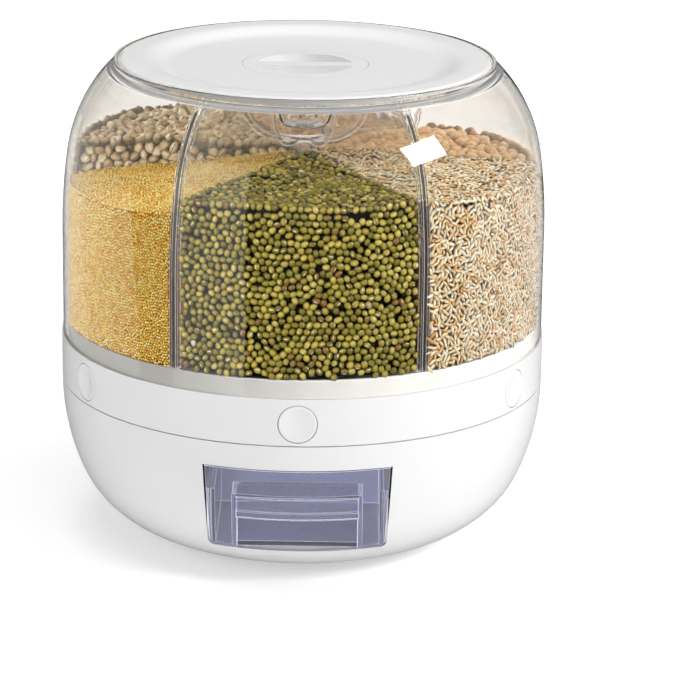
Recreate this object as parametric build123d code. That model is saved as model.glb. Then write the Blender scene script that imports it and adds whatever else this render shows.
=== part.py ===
from build123d import *
import os
from math import asin, cos, degrees, radians, sin, sqrt

# Rotating six-compartment dry food dispenser, in millimetres.
# The origin is on the table under the turning axis, +Z is up and the drawer faces -Y.
# Distances called "reach" are measured outwards from the turning axis.

# Layout
compartments = 6
step_angle = 360 / compartments
running_gap = 0.3
fit_gap = 0.05
join = 1.0
past = 5.0

# Heights above the table
foot_height = 2.0
bowl_top = 97.0
seam_gap = 0.5
ring_height = 28.7
plinth_height = 10.8
overall_height = 297.6

# Base bowl
bowl_radius = 150.0
bowl_wall = 3.0
bowl_side_radius = 142.0
bowl_corner_radius = 65.0
bowl_floor = 6.0
flange_width = 14.0
ledge_width = 10.0
ledge_height = 4.0
deck_drop = 7.0

# Bottom cover and feet
cover_radius = 74.0
cover_thickness = 3.0
cover_screw_count = 4
foot_radius = 8.0
foot_inset = 4.0
foot_sink = 1.0
foot_count = 4

# Screws
screw_radius = 1.5
screw_head_radius = 3.0
screw_head_height = 1.8
boss_radius = 4.5
boss_height = 5.0

# Drawer opening in the bowl
opening_bottom = 23.5
opening_top = 82.0
opening_half_bottom = 53.3
opening_half_top = 56.2
opening_corner = 4.0

# Drawer
drawer_side_gap = 1.3
drawer_end_gap = 0.7
drawer_wall = 2.4
drawer_panel = 3.0
drawer_step = 2.3
drawer_back = 46.0
drawer_wall_height = 41.8
pocket_half_width = 36.0
pocket_wall_reach = 120.0
notch_height = 23.8
pocket_rise = 14.0
lip_depth = 3.5
lip_height = 4.0

# Drawer bay
bay_wall = 2.2
bay_side_gap = 0.8
runner_half_spacing = 30.0
runner_width = 3.0
bay_leg_radius = 5.5
leg_half_spacing = 40.0
leg_inset = 8.0
front_leg_offset = 46.0

# Deck
deck_thickness = 4.0
deck_rib = 2.0
deck_rib_depth = 7.0
hub_wall = 6.0
hub_depth = 6.0
hub_rise = 3.5

# Spindle and pivot screw
spindle_radius = 8.0
pivot_screw_radius = 2.4
pivot_head_radius = 6.0
pivot_head_height = 3.2
pivot_washer_radius = 13.0
pivot_washer_thickness = 2.0

# Outlet chute
chute_margin = 4.5
chute_length = 23.0
chute_taper = 5.5
chute_exit_length = 17.0
chute_wall = 2.0
chute_drop = 21.0
chute_flange = 2.0
chute_flange_width = 9.0
chute_screw_inset = 4.0

# Ball race
ball_radius = 4.0
ball_count = 12
race_inset = 32.0
race_half_width = 6.5
race_step = 2.0
race_lift = 3.6
groove_gap = 0.2
cage_thickness = 1.6
cage_hole_gap = 0.15
cage_side_gap = 0.5

# Turntable plate
plate_lift = 2.4
plate_thickness = 3.5
plate_inset = 20.0

# Outlet and gate
outlet_reach = 89.5
outlet_length = 11.0
outlet_half_width = 18.0
outlet_margin = 1.0
gate_thickness = 2.0
gate_edge = 2.0
gate_tail = 12.0
tongue_half_width = 8.0
tongue_length = 9.0
tab_inset = 13.0
tab_thickness = 2.5
tab_above_pin = 5.0
guide_rail = 2.7
guide_plate = 1.5

# Button
button_travel = 12.0
button_drop = 0.85
button_radius = 11.4
button_gap = 0.4
button_depth = 6.0
button_face = 2.5
button_wall = 2.4
button_dish_radius = 9.5
button_dish_depth = 1.3
button_rim_round = 0.7
stem_radius = 4.0
pin_radius = 2.5
pin_length = 5.5

# Button spring
spring_radius = 3.2
spring_wire = 0.7
spring_turns = 7
spring_length = 22.0
spring_post_thickness = 2.5
spring_post_half_width = 5.0

# Button ring
ring_wall = 2.7
ring_lip = 0.8
ring_lip_height = 2.5
ring_edge = 0.4
ring_ledge_thickness = 2.0
ring_ledge_width = 4.1
sleeve_wall = 1.5
sleeve_length = 13.3
ear_half_width = 8.0
ear_length = 28.3
ear_thickness = 3.0
ear_screw_inset = 6.0

# Hopper floor
floor_wall = 3.0
rim_wall = 2.5
web_thickness = 5.2
web_groove_depth = 3.0
floor_hub_radius = 15.0
floor_screw_reach = 95.0
seal_width = 1.4
seal_height = 2.0
seal_gap = 0.1

# Clear barrel
barrel_step = 1.0
barrel_wall = 2.5
barrel_gap = 0.4
shoulder_drop = 105.3
shoulder_radius = 332.0
shoulder_angle = 8.4
crown_radius = 93.0
neck_inset = 32.0
collar_wall = 2.8
collar_top_drop = 0.6
lid_seat_drop = 6.1
lid_seat_width = 5.2
neck_thickness = 2.5
guide_rib = 1.2
guide_rib_depth = 4.0

# Divider
vane_thickness = 2.2
vane_gap = 0.3
vane_top_drop = 11.6
post_radius = 6.25
hub_disc_radius = 14.0
hub_disc_height = 7.8
hub_disc_round = 1.2
cradle_radius = 37.5
cradle_corner = 22.0
cradle_drop = 49.1
bead_width = 3.0
bead_thickness = 3.6

# Lid
lid_gap = 0.8
lid_edge_round = 2.5
lid_wall = 2.2
lid_dish_depth = 4.2
lid_rim_width = 12.4
lid_dish_slope = 21.0
lid_plug_gap = 1.2
lid_plug_depth = 4.8
lid_seal_thickness = 0.8
lid_seal_inset = 0.4

# Lid grip
grip_radius = 38.5
grip_gap = 0.3
grip_flange = 1.2
grip_shelf = 3.0
grip_well_radius = 29.0
grip_well_depth = 11.0
grip_bar_half_width = 5.2
grip_wall = 2.0

# Heights worked out from the sizes above
bowl_bottom = foot_height
bowl_floor_top = bowl_bottom + bowl_floor
cover_top = bowl_bottom + cover_thickness
deck_bottom = bowl_top - deck_drop
deck_top = deck_bottom + deck_thickness
hub_bottom = deck_bottom - hub_depth
race_height = deck_top + race_lift
ring_bottom = bowl_top + seam_gap
ring_top = ring_bottom + ring_height
ring_ledge = ring_top - ring_lip_height
button_height = ring_bottom + ring_height / 2 - button_drop
plate_bottom = race_height + plate_lift
plate_top = plate_bottom + plate_thickness
gate_bottom = plate_top + running_gap
gate_top = gate_bottom + gate_thickness
guide_bottom = gate_top + running_gap
guide_top = guide_bottom + guide_plate
floor_top = ring_top + plinth_height
web_bottom = plate_top + ear_thickness + running_gap
spindle_bottom = hub_bottom - 2 * running_gap
drawer_bottom = opening_bottom + drawer_end_gap
drawer_wall_top = drawer_bottom + drawer_wall_height
notch_top = drawer_bottom + notch_height
pocket_top = notch_top + pocket_rise
dome_start = overall_height - shoulder_drop
vane_top = overall_height - vane_top_drop
cradle_bottom = overall_height - cradle_drop
hub_disc_top = cradle_bottom + hub_disc_height
lid_seat = overall_height - lid_seat_drop
collar_top = overall_height - collar_top_drop
neck_bottom = lid_seat - neck_thickness
lid_rim_bottom = lid_seat + lid_seal_thickness
lid_floor_top = overall_height - lid_dish_depth

# Reaches worked out from the sizes above
flange_reach = cover_radius - flange_width
ledge_reach = bowl_radius - bowl_wall - ledge_width
deck_screw_reach = bowl_radius - bowl_wall - ledge_width / 2 - running_gap
cover_screw_reach = (flange_reach + cover_radius) / 2
foot_reach = cover_radius - foot_radius - foot_inset
race_reach = bowl_radius - race_inset
plate_radius = bowl_radius - plate_inset
chute_half_width = outlet_half_width + chute_margin
tab_reach = bowl_radius - tab_inset
gate_shoulder_reach = tab_reach - tongue_length
gate_half_width = outlet_half_width + gate_edge
gate_inner_reach = outlet_reach - outlet_length / 2 - gate_tail
guide_inner_reach = gate_inner_reach - gate_edge
window_reach = outlet_reach + button_travel
spring_post_reach = tab_reach - spring_length
ring_inner = bowl_radius - ring_wall
ring_ledge_reach = ring_inner - ring_ledge_width
sleeve_reach = ring_inner - sleeve_length
ear_reach = ring_inner - ear_length
ear_screw_reach = ear_reach + ear_screw_inset
barrel_radius = bowl_radius - barrel_step
barrel_inner = barrel_radius - barrel_wall
floor_rim = barrel_inner - barrel_gap
neck_radius = barrel_radius - neck_inset
collar_inner = neck_radius - collar_wall
throat_radius = collar_inner - lid_seat_width
lid_radius = collar_inner - lid_gap
lid_plug_radius = throat_radius - lid_plug_gap
drawer_half_width = opening_half_bottom - drawer_step


# General shapes


def turned(*edges):
    """A solid turned about the Z axis from an outline of reach and height."""
    return revolve(Plane.XZ * make_face(Curve() + list(edges)), Axis.Z)


def disc(radius, low, high, x=0.0, y=0.0):
    height = high - low
    return Pos(x, y, low + height / 2) * Cylinder(radius, height)


def tube(inner, outer, low, high, x=0.0, y=0.0):
    return disc(outer, low, high, x, y) - disc(inner, low - past, high + past, x, y)


def block(x_low, x_high, y_low, y_high, z_low, z_high):
    centre = Pos((x_low + x_high) / 2, (y_low + y_high) / 2, (z_low + z_high) / 2)
    return centre * Box(x_high - x_low, y_high - y_low, z_high - z_low)


def front_block(half_width, reach_in, reach_out, low, high):
    """A block centred on the front radius, between two reaches."""
    return block(-half_width, half_width, -reach_out, -reach_in, low, high)


def outlet_block(half_width, length, low, high):
    """A block over the front outlet."""
    return front_block(half_width, outlet_reach - length / 2, outlet_reach + length / 2, low, high)


def front_rod(radius, reach_in, reach_out, height):
    """A round rod that lies along the front radius."""
    length = reach_out - reach_in
    return Pos(0, -(reach_in + reach_out) / 2, height) * Rot(90, 0, 0) * Cylinder(radius, length)


def around(shape, position, count=compartments, offset=0.0):
    return Rot(0, 0, offset + position * 360 / count) * shape


def all_around(shape, count=compartments, offset=0.0):
    return [around(shape, position, count, offset) for position in range(count)]


def moved_all(shape, places):
    return [Pos(*place) * shape for place in places]


def ring_places(reach, count, offset=0.0):
    """Points on a circle, counted from the front."""
    angles = [radians(offset + 360 * position / count) for position in range(count)]
    return [(reach * sin(angle), -reach * cos(angle), 0) for angle in angles]


def torus_groove(minor_radius):
    return Pos(0, 0, race_height) * Torus(race_reach, minor_radius)


def single(shape):
    """One plain solid from a result that may be a list with one member."""
    solids = shape.solids()
    if len(solids) != 1:
        raise ValueError(f"expected one solid, found {len(solids)}")
    return solids[0]


def group(shapes):
    return Compound(children=[single(shape) for shape in shapes])


# Outer forms that several pieces share


def bowl_body(inset, top=bowl_top):
    """The bowl's outside form, drawn in by an inset."""
    side_x = bowl_radius - bowl_side_radius
    corner_z = bowl_bottom + bowl_corner_radius
    spread = bowl_side_radius - bowl_corner_radius
    turn = asin((bowl_top - corner_z) / spread)
    corner_x = side_x + spread * cos(turn)
    side_arc = CenterArc((side_x, bowl_top), bowl_side_radius - inset, -degrees(turn), degrees(turn))
    corner_arc = CenterArc(
        (corner_x, corner_z), bowl_corner_radius - inset, -90, 90 - degrees(turn)
    )
    low = bowl_bottom + inset
    edge = bowl_radius - inset
    outline = [Line((0, low), (corner_x, low)), corner_arc, side_arc]
    if top > bowl_top:
        outline.append(Line((edge, bowl_top), (edge, top)))
    outline.append(Line((edge, top), (0, top)))
    outline.append(Line((0, top), (0, low)))
    return turned(*outline)


def dome_centres():
    turn = radians(shoulder_angle)
    spread = shoulder_radius - crown_radius
    shoulder_x = barrel_radius - shoulder_radius
    crown_x = shoulder_x + spread * cos(turn)
    crown_z = dome_start + spread * sin(turn)
    return shoulder_x, crown_x, crown_z


def barrel_body(inset, low, high):
    """The barrel's outside form between two heights, drawn in by an inset."""
    shoulder_x, crown_x, crown_z = dome_centres()
    wall = barrel_radius - inset
    crown = crown_radius - inset
    top_angle = degrees(asin((high - crown_z) / crown))
    top_x = crown_x + sqrt(crown**2 - (high - crown_z) ** 2)
    shoulder_arc = CenterArc(
        (shoulder_x, dome_start), shoulder_radius - inset, 0, shoulder_angle
    )
    crown_arc = CenterArc((crown_x, crown_z), crown, shoulder_angle, top_angle - shoulder_angle)
    return turned(
        Line((0, low), (wall, low)),
        Line((wall, low), (wall, dome_start)),
        shoulder_arc,
        crown_arc,
        Line((top_x, high), (0, high)),
        Line((0, high), (0, low)),
    )


def drawer_prism(side_gap, end_gap, reach_in, reach_out):
    """The drawer opening's outline, drawn in by gaps and run along the front."""
    bottom = opening_bottom + end_gap
    top = opening_top - end_gap
    slope = (opening_half_top - opening_half_bottom) / (opening_top - opening_bottom)
    half_bottom = opening_half_bottom + slope * end_gap - side_gap
    half_top = opening_half_top - slope * end_gap - side_gap
    outline = Polyline(
        (-half_bottom, bottom),
        (half_bottom, bottom),
        (half_top, top),
        (-half_top, top),
        close=True,
    )
    face = make_face(outline)
    face = fillet(face.vertices().sort_by(Axis.Y)[:2], opening_corner)
    prism = extrude(Plane.XZ * face, reach_out - reach_in)
    return Pos(0, -reach_in, 0) * prism


def pan_screw(head_low, length, side=1):
    """A pan head screw on the Z axis. The shank runs down, or up for side -1."""
    head = disc(screw_head_radius, 0, screw_head_height)
    shank = disc(screw_radius, -length, 0)
    screw = head + shank
    if side < 0:
        screw = Rot(180, 0, 0) * screw
        return Pos(0, 0, head_low + screw_head_height) * screw
    return Pos(0, 0, head_low) * screw


def screw_hole(low, high, x, y):
    return disc(screw_radius + fit_gap, low, high, x, y)


def head_recess(low, x, y):
    """Room for a screw head that is let into a face from below."""
    return disc(screw_head_radius + running_gap, low - past, low + screw_head_height, x, y)


# Places that pieces share


rear_leg_y = -drawer_back - leg_inset
front_leg_y = rear_leg_y - front_leg_offset
rear_legs = [(-leg_half_spacing, rear_leg_y, 0), (leg_half_spacing, rear_leg_y, 0)]
front_legs = [(-leg_half_spacing, front_leg_y, 0), (leg_half_spacing, front_leg_y, 0)]
cover_screw_places = ring_places(cover_screw_reach, cover_screw_count)
foot_places = ring_places(foot_reach, foot_count, 180 / foot_count)
deck_screw_places = ring_places(deck_screw_reach, compartments, step_angle / 2)
floor_screw_places = ring_places(floor_screw_reach, compartments, step_angle / 2)
ear_screw_places = ring_places(ear_screw_reach, compartments, step_angle / 2)
chute_screw_x = chute_half_width + chute_flange_width - chute_screw_inset
chute_screw_places = [(-chute_screw_x, -outlet_reach, 0), (chute_screw_x, -outlet_reach, 0)]


# Base


def base_bowl():
    shell = bowl_body(0) - bowl_body(bowl_wall, bowl_top + past)
    floor = bowl_body(0) & disc(bowl_radius, bowl_bottom, bowl_floor_top)
    ledge = tube(ledge_reach, bowl_radius - bowl_wall / 2, deck_bottom - ledge_height, deck_bottom)
    bowl = shell + floor + (ledge & bowl_body(0))
    boss_top = bowl_floor_top + boss_height
    bowl += [disc(boss_radius, bowl_bottom, boss_top, x, y) for x, y, z in cover_screw_places]
    bowl -= disc(flange_reach, bowl_bottom - past, boss_top + past)
    bowl -= disc(cover_radius + running_gap, bowl_bottom - past, cover_top)
    bowl -= drawer_prism(0, 0, cover_radius, bowl_radius + past)
    for x, y, z in cover_screw_places:
        bowl -= screw_hole(cover_top - past, boss_top - screw_radius, x, y)
    for x, y, z in rear_legs:
        bowl -= screw_hole(cover_top - past, bowl_floor_top + past, x, y)
        bowl -= head_recess(cover_top, x, y)
    for x, y, z in deck_screw_places:
        bowl -= screw_hole(deck_bottom - ledge_height - past, deck_bottom + past, x, y)
    return bowl


def base_cover():
    cover = disc(cover_radius, bowl_bottom, cover_top)
    for x, y, z in cover_screw_places:
        cover -= screw_hole(bowl_bottom - past, cover_top + past, x, y)
        cover -= head_recess(bowl_bottom, x, y)
    for x, y, z in foot_places:
        sink_top = bowl_bottom + foot_sink
        cover -= disc(foot_radius + fit_gap, bowl_bottom - past, sink_top, x, y)
    return cover


def rubber_feet():
    foot = disc(foot_radius, 0, bowl_bottom + foot_sink)
    foot = fillet(foot.edges().group_by(Axis.Z)[0], foot_sink / 2)
    return group(moved_all(foot, foot_places))


def cover_screws():
    screw = pan_screw(bowl_bottom, bowl_floor_top - bowl_bottom, -1)
    return group(moved_all(screw, cover_screw_places))


def drawer_bay():
    outer_half = drawer_half_width + bay_side_gap + bay_wall
    inner_half = drawer_half_width + bay_side_gap
    low = opening_bottom - bay_wall
    back = drawer_back - running_gap
    body = block(-outer_half, outer_half, -bowl_radius, -back + bay_wall, low, drawer_wall_top)
    for x, y, z in rear_legs + front_legs:
        body += disc(bay_leg_radius, bowl_floor_top, low + bay_wall / 2, x, y)
    body = body & bowl_body(bowl_wall + running_gap)
    body -= block(-inner_half, inner_half, -2 * bowl_radius, -back, opening_bottom, bowl_top)
    runner_top = drawer_bottom - running_gap
    for side in (-1, 1):
        middle = side * runner_half_spacing
        runner = block(
            middle - runner_width / 2,
            middle + runner_width / 2,
            -pocket_wall_reach,
            -back,
            low,
            runner_top,
        )
        body += runner & bowl_body(bowl_wall + running_gap)
    for x, y, z in rear_legs:
        body -= screw_hole(bowl_floor_top - past, low, x, y)
    return body


def bay_screws():
    screw = pan_screw(cover_top, bowl_floor, -1)
    return group(moved_all(screw, rear_legs))


def base_deck():
    deck = disc(bowl_radius - bowl_wall - 2 * running_gap, deck_bottom, deck_top)
    race_low = race_reach - race_half_width
    race_high = race_reach + race_half_width
    hub_radius = spindle_radius + hub_wall
    deck += tube(race_low, race_high, deck_top - join, race_height - race_step)
    deck += disc(hub_radius, hub_bottom, deck_top + hub_rise)
    rib = front_block(
        deck_rib / 2, hub_radius - join, ledge_reach - join, deck_bottom - deck_rib_depth, deck_bottom
    )
    deck += all_around(rib, offset=step_angle / 2)
    deck -= torus_groove(ball_radius + groove_gap)
    deck -= disc(spindle_radius + fit_gap, hub_bottom - past, deck_top + hub_rise + past)
    deck -= outlet_block(chute_half_width, chute_length, deck_bottom - past, deck_top + past)
    for x, y, z in deck_screw_places:
        deck -= screw_hole(deck_bottom - past, deck_top + past, x, y)
    for x, y, z in chute_screw_places:
        deck -= screw_hole(deck_bottom - past, deck_top - join, x, y)
    return deck


def deck_screws():
    screw = pan_screw(deck_top, deck_thickness + ledge_height, 1)
    return group(moved_all(screw, deck_screw_places))


def chute_frustum(extra, low, high):
    """The chute's tapered form, grown sideways by an amount."""
    top = Pos(0, -outlet_reach, high) * Rectangle(
        2 * (chute_half_width + extra), chute_length + 2 * extra
    )
    exit_half_width = chute_half_width - chute_taper
    bottom = Pos(0, -outlet_reach, low) * Rectangle(
        2 * (exit_half_width + extra), chute_exit_length + 2 * extra
    )
    return loft([bottom, top])


def outlet_chute():
    low = deck_bottom - chute_drop
    body = chute_frustum(chute_wall, low, deck_bottom)
    body += outlet_block(
        chute_half_width + chute_flange_width,
        chute_length + 2 * (chute_wall + join),
        deck_bottom - chute_flange,
        deck_bottom,
    )
    body -= chute_frustum(0, low, deck_bottom)
    for x, y, z in chute_screw_places:
        body -= screw_hole(deck_bottom - past, deck_bottom + past, x, y)
    return body


def chute_screws():
    head_low = deck_bottom - chute_flange - screw_head_height
    screw = pan_screw(head_low, chute_flange + deck_thickness - 2 * join, -1)
    return group(moved_all(screw, chute_screw_places))


# Ball race


def ball_cage():
    half = race_half_width - cage_side_gap
    low = race_height - cage_thickness / 2
    cage = tube(race_reach - half, race_reach + half, low, low + cage_thickness)
    hole = disc(ball_radius + cage_hole_gap, low - past, low + cage_thickness + past)
    return cage - moved_all(hole, ring_places(race_reach, ball_count))


def bearing_balls():
    ball = Pos(0, 0, race_height) * Sphere(ball_radius)
    return group(moved_all(ball, ring_places(race_reach, ball_count)))


# Turntable


def turntable_plate():
    plate = disc(plate_radius, plate_bottom, plate_top)
    race_low = race_reach - race_half_width
    race_high = race_reach + race_half_width
    plate += tube(race_low, race_high, race_height + race_step, plate_bottom + join)
    plate += disc(spindle_radius, spindle_bottom, plate_bottom + join)
    plate -= torus_groove(ball_radius + groove_gap)
    window = outlet_block(
        outlet_half_width + outlet_margin / 2,
        outlet_length + 2 * outlet_margin,
        plate_bottom - past,
        plate_top + past,
    )
    plate -= all_around(window)
    plate -= disc(pivot_screw_radius + fit_gap, spindle_bottom - past, plate_bottom - join)
    for x, y, z in floor_screw_places + ear_screw_places:
        plate -= screw_hole(plate_bottom - past, plate_top + past, x, y)
        plate -= head_recess(plate_bottom, x, y)
    return plate


def pivot_washer():
    low = spindle_bottom - pivot_washer_thickness
    return tube(pivot_screw_radius + fit_gap, pivot_washer_radius, low, spindle_bottom)


def pivot_screw():
    head_top = spindle_bottom - pivot_washer_thickness
    head = disc(pivot_head_radius, head_top - pivot_head_height, head_top)
    head = fillet(head.edges().group_by(Axis.Z)[0], pivot_head_height / 4)
    return head + disc(pivot_screw_radius, head_top, plate_bottom - 2 * join)


def sector_face(height, side_gap, inner, outer):
    """One compartment's plan, drawn in from the dividers."""
    half_angle = radians(step_angle / 2)
    turn_in = half_angle - asin(side_gap / inner)
    turn_out = half_angle - asin(side_gap / outer)
    inner_left = (-inner * sin(turn_in), -inner * cos(turn_in))
    inner_right = (inner * sin(turn_in), -inner * cos(turn_in))
    outer_left = (-outer * sin(turn_out), -outer * cos(turn_out))
    outer_right = (outer * sin(turn_out), -outer * cos(turn_out))
    edges = Curve() + [
        Line(outer_left, inner_left),
        ThreePointArc(inner_left, (0, -inner), inner_right),
        Line(inner_right, outer_right),
        ThreePointArc(outer_right, (0, -outer), outer_left),
    ]
    return Pos(0, 0, height) * make_face(edges)


def funnel(drop, spread=0.0):
    """The space above one outlet, lowered and spread into its neighbours."""
    top = sector_face(
        floor_top - drop,
        web_thickness / 2 - spread,
        floor_hub_radius - spread,
        floor_rim - rim_wall + spread,
    )
    mouth = Pos(0, -outlet_reach, guide_top - drop) * Rectangle(2 * outlet_half_width, outlet_length)
    return loft([mouth, top])


def gate_guide():
    """The rails and spring post for one gate, moulded under the floor."""
    half = gate_half_width + running_gap + guide_rail
    outer_reach = gate_shoulder_reach + running_gap + guide_rail
    guide = front_block(half, guide_inner_reach, outer_reach, plate_top, guide_top + join)
    post = front_block(
        spring_post_half_width,
        spring_post_reach - spring_post_thickness,
        spring_post_reach,
        guide_top,
        button_height + spring_radius,
    )
    return guide + post


def gate_space():
    """The room that one gate and its tongue sweep through."""
    slide = front_block(
        gate_half_width + running_gap,
        gate_inner_reach - button_travel - running_gap,
        gate_shoulder_reach + running_gap,
        plate_top - past,
        guide_bottom,
    )
    slot = front_block(
        tongue_half_width + 2 * running_gap,
        spring_post_reach + running_gap,
        gate_shoulder_reach + 2 * past,
        plate_top - past,
        guide_top + 2 * join,
    )
    return slide + slot


def hopper_floor():
    rim_low = ring_ledge
    rim = tube(floor_rim - rim_wall, floor_rim, rim_low, floor_top)
    rim = fillet(rim.edges().group_by(Axis.Z)[-1], rim_wall / 3)
    floor = rim + disc(floor_hub_radius, plate_top + running_gap, floor_top)
    web = front_block(web_thickness / 2, join, floor_rim - rim_wall / 2, web_bottom, floor_top)
    floor += all_around(web, offset=step_angle / 2)
    boss_top = web_bottom + boss_height
    floor += [disc(boss_radius, plate_top, boss_top, x, y) for x, y, z in floor_screw_places]
    floor += all_around(funnel(floor_wall, join) + gate_guide())
    floor -= all_around(funnel(0))
    floor -= all_around(outlet_block(outlet_half_width, outlet_length, plate_top - past, guide_top))
    floor -= all_around(gate_space())
    floor -= tube(ring_ledge_reach - running_gap, bowl_radius, plate_top, rim_low)
    groove_low = floor_top - web_groove_depth
    groove = front_block(
        vane_thickness / 2 + running_gap, 0, floor_rim - rim_wall, groove_low, floor_top + past
    )
    floor -= all_around(groove, offset=step_angle / 2)
    floor -= disc(post_radius + running_gap, groove_low, floor_top + past)
    seal_reach = floor_rim - seal_width - seal_gap
    seal_top = rim_low + seal_height + seal_gap
    floor -= tube(seal_reach, floor_rim + past, rim_low - past, seal_top)
    for x, y, z in floor_screw_places:
        floor -= screw_hole(plate_top - past, boss_top - join, x, y)
    return floor


def floor_screws():
    screw = pan_screw(plate_bottom, plate_thickness + ear_thickness, -1)
    return group(moved_all(screw, floor_screw_places))


def ring_screws():
    length = plate_thickness + ear_thickness - screw_head_height - join
    screw = pan_screw(plate_bottom, length, -1)
    return group(moved_all(screw, ear_screw_places))


def button_ring():
    ring = tube(ring_inner, bowl_radius, ring_bottom, ring_top)
    ring = chamfer(ring.edges().group_by(Axis.Z)[0], ring_edge)
    ring += tube(ring_ledge_reach, ring_inner + join, ring_ledge - ring_ledge_thickness, ring_ledge)
    bore_radius = button_radius + button_gap
    sleeve = front_rod(bore_radius + sleeve_wall, sleeve_reach, ring_inner + join, button_height)
    open_side = front_block(
        bore_radius + past,
        sleeve_reach - past,
        ring_inner,
        ring_bottom - past,
        button_height - button_radius / 3,
    )
    ring += all_around(sleeve - open_side)
    ring -= disc(bowl_radius - ring_lip, ring_ledge, ring_top + past)
    ring -= all_around(front_rod(bore_radius, sleeve_reach - past, bowl_radius + past, button_height))
    ear = front_block(ear_half_width, ear_reach, ring_inner + join, plate_top, plate_top + ear_thickness)
    ring += all_around(ear, offset=step_angle / 2)
    for x, y, z in ear_screw_places:
        ring -= screw_hole(plate_top - past, plate_top + ear_thickness - join, x, y)
    return ring


def barrel_seal():
    outer = floor_rim + barrel_gap - seal_gap
    inner = floor_rim - seal_width
    return tube(inner, outer, ring_ledge, ring_ledge + seal_height)


def barrel_shell():
    shoulder_x, crown_x, crown_z = dome_centres()
    neck_start = crown_z + sqrt(crown_radius**2 - (neck_radius - crown_x) ** 2)
    outer = barrel_body(0, ring_ledge, neck_start) + disc(neck_radius, neck_start, collar_top)
    inner = barrel_body(barrel_wall, ring_ledge - past, neck_bottom)
    shell = outer - inner
    shell -= disc(throat_radius, neck_bottom - past, collar_top + past)
    shell -= disc(collar_inner, lid_seat, collar_top + past)
    shell = fillet(shell.edges().group_by(Axis.Z)[-1], collar_wall / 3)
    rib_top = neck_bottom + neck_thickness / 2
    band = barrel_body(barrel_wall / 2, floor_top + running_gap, rib_top)
    band -= barrel_body(barrel_wall + guide_rib_depth, floor_top - past, vane_top)
    band -= disc(throat_radius + guide_rib_depth, vane_top - past, collar_top)
    rib_middle = vane_thickness / 2 + vane_gap + guide_rib / 2
    for side in (-1, 1):
        rib_low = side * rib_middle - guide_rib / 2
        plate = block(rib_low, rib_low + guide_rib, -bowl_radius, -throat_radius, floor_top, rib_top)
        shell += all_around(band & plate, offset=step_angle / 2)
    return shell


def cradle(spread):
    """The rounded cut-out over the divider's middle, grown by a spread."""
    hollow = disc(cradle_radius + spread, cradle_bottom - spread, vane_top + past)
    return fillet(hollow.edges().group_by(Axis.Z)[0], cradle_corner + spread)


def vane_bead():
    """The thicker edge along one vane's cut-out and top, clear of the guide ribs."""
    edge = cradle(bead_width)
    edge += disc(throat_radius + guide_rib_depth - vane_gap, vane_top - bead_width, vane_top)
    clear = barrel_body(barrel_wall + guide_rib_depth + vane_gap, floor_top, vane_top)
    return front_block(bead_thickness / 2, 0, bowl_radius, floor_top, vane_top) & clear & edge


def divider_star():
    inside = barrel_body(barrel_wall + vane_gap, floor_top + running_gap, vane_top)
    vane = front_block(vane_thickness / 2, 0, bowl_radius, floor_top, vane_top) & inside
    tongue = front_block(
        vane_thickness / 2,
        0,
        floor_rim - rim_wall - running_gap,
        floor_top - web_groove_depth,
        floor_top + join,
    )
    post = disc(post_radius, floor_top - web_groove_depth, cradle_bottom)
    star = post + all_around(vane + tongue + vane_bead(), offset=step_angle / 2) - cradle(0)
    hub_disc = disc(hub_disc_radius, cradle_bottom - join, hub_disc_top)
    return star + fillet(hub_disc.edges().group_by(Axis.Z)[-1], hub_disc_round)


# Gate, button and spring at the front position


def gate():
    plate = front_block(gate_half_width, gate_inner_reach, gate_shoulder_reach, gate_bottom, gate_top)
    tab_outer = tab_reach + tab_thickness
    plate += front_block(tongue_half_width, gate_shoulder_reach - join, tab_outer, gate_bottom, gate_top)
    tab_top = button_height + tab_above_pin
    plate += front_block(tongue_half_width, tab_reach, tab_outer, gate_bottom, tab_top)
    half = outlet_length / 2
    plate -= front_block(
        outlet_half_width, window_reach - half, window_reach + half, gate_bottom - past, gate_top + past
    )
    plate -= front_rod(pin_radius + fit_gap, tab_reach - past, tab_outer + past, button_height)
    return plate


def button():
    back = bowl_radius - button_depth
    body = front_rod(button_radius, back, bowl_radius, button_height)
    body = fillet(body.edges().group_by(Axis.Y)[0], button_rim_round)
    face_back = bowl_radius - button_face
    body -= front_rod(button_radius - button_wall, back - past, face_back, button_height)
    tab_outer = tab_reach + tab_thickness
    body += front_rod(stem_radius, tab_outer, face_back + button_face / 4, button_height)
    body += front_rod(pin_radius, tab_outer - pin_length, tab_outer + join, button_height)
    dish_ball = (button_dish_radius**2 + button_dish_depth**2) / (2 * button_dish_depth)
    dish_centre = bowl_radius + dish_ball - button_dish_depth
    return body - Pos(0, -dish_centre, button_height) * Sphere(dish_ball)


def button_spring():
    length = spring_length - spring_wire
    pitch = length / spring_turns
    path = Helix(pitch, length, spring_radius)
    section = Plane(origin=path @ 0, z_dir=path % 0) * Circle(spring_wire / 2)
    coil = sweep(section, path=path, is_frenet=True)
    start = spring_post_reach + spring_wire / 2
    return Pos(0, -start, button_height) * Rot(90, 0, 0) * coil


# Lid


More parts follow.
